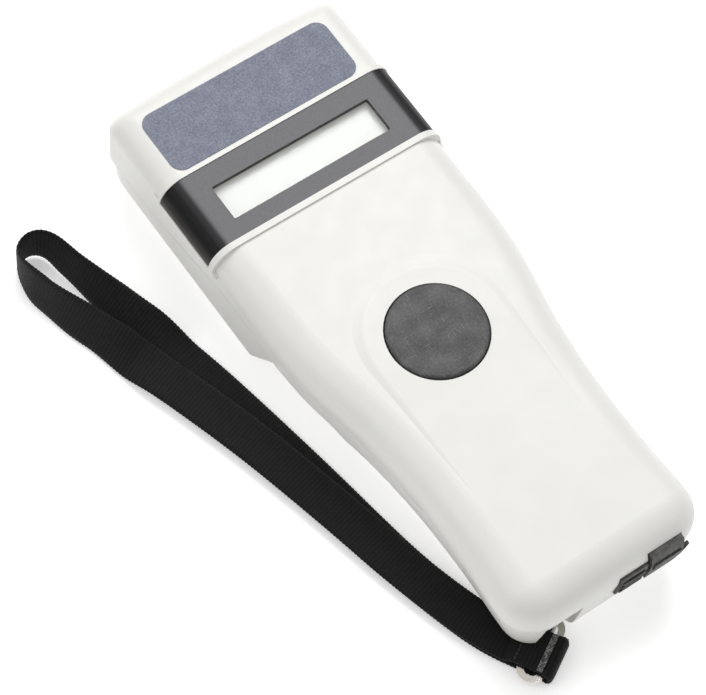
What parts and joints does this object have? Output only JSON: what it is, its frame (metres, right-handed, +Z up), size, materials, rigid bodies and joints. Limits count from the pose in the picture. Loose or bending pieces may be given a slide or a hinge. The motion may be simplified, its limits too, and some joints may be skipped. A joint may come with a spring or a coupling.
{
  "type": "microchip scanner",
  "caption": "Hand-held scanner for pet microchips: waisted housing with a display band, a round button, a finger arch across the back, a rubber socket cap and a wrist strap.",
  "frame": {"origin": "on the resting surface, under the middle of the housing", "axes": "+X to the scanner's right, +Y along its length towards the antenna head, +Z up, out of its front face"},
  "size_m": [0.1041, 0.1769, 0.0301],
  "materials": {
    "ivory_plastic": "fine satin, moulded",
    "label_slate": "matte printed film",
    "label_silver": "matte printed film, blank",
    "bezel_black": "glossy, satin on the flat",
    "clear_window": "clear",
    "display_glass": "pale liquid crystal display",
    "button_grey": "fine grain",
    "chip_black": "moulded",
    "board_green": "solder mask",
    "bobbin_white": "moulded",
    "copper_wire": "enamelled winding",
    "battery_case": "printed steel, blank",
    "wire_red": "insulation",
    "wire_black": "insulation",
    "foam_grey": "open foam",
    "socket_steel": "folded sheet",
    "rubber_black": "matte",
    "steel": "plated",
    "ring_chrome": "polished, nickel plated",
    "webbing_black": "woven ribbed webbing",
    "thread_black": "sewing thread"
  },
  "bodies": {
    "housing": {"front_shell": "ivory_plastic", "rear_shell": "ivory_plastic", "case_screws": "steel", "rear_label": "label_silver", "head_label": "label_slate", "display_bezel": "bezel_black", "display_lens": "clear_window", "lcd_frame": "bezel_black", "lcd_glass": "display_glass", "tact_switch": "chip_black", "main_pcb": "board_green", "pcb_screws": "steel", "processor_chip": "chip_black", "circuit_chips": "chip_black", "buzzer": "chip_black", "coil_former": "bobbin_white", "antenna_coil": "copper_wire", "battery": "battery_case", "battery_snap": "chip_black", "lead_red": "wire_red", "lead_black": "wire_black", "data_socket": "socket_steel", "port_cap_anchor": "rubber_black", "lanyard_bar": "steel"},
    "button": {"scan_button": "button_grey", "switch_plunger": "chip_black"},
    "door": {"battery_door": "ivory_plastic", "battery_foam": "foam_grey"},
    "cap": {"port_cap": "rubber_black"},
    "lanyard": {"lanyard_ring": "ring_chrome", "strap_end": "webbing_black", "strap_stitching": "thread_black", "strap_near": "webbing_black", "strap_turn": "webbing_black", "strap_far": "webbing_black"}
  },
  "joints": [
    {"name": "button_press", "type": "slide", "parent": "housing", "child": "button", "axis": [0, 0, -1], "range_m": [0, 0.0008], "stiffness_N_per_m": 1500},
    {"name": "battery_door_slide", "type": "slide", "parent": "housing", "child": "door", "axis": [0, 1, 0], "range_m": [0, 0.01]},
    {"name": "port_cap_hinge", "type": "hinge", "parent": "housing", "child": "cap", "pos_m": [0.009, -0.0861, 0.0175], "axis": [0, 0, -1], "range_deg": [0, 110]},
    {"name": "lanyard_swing", "type": "hinge", "parent": "housing", "child": "lanyard", "pos_m": [-0.01389, -0.08082, 0.0024], "axis": [0, 0, 1], "range_deg": [0, 35]}
  ]
}
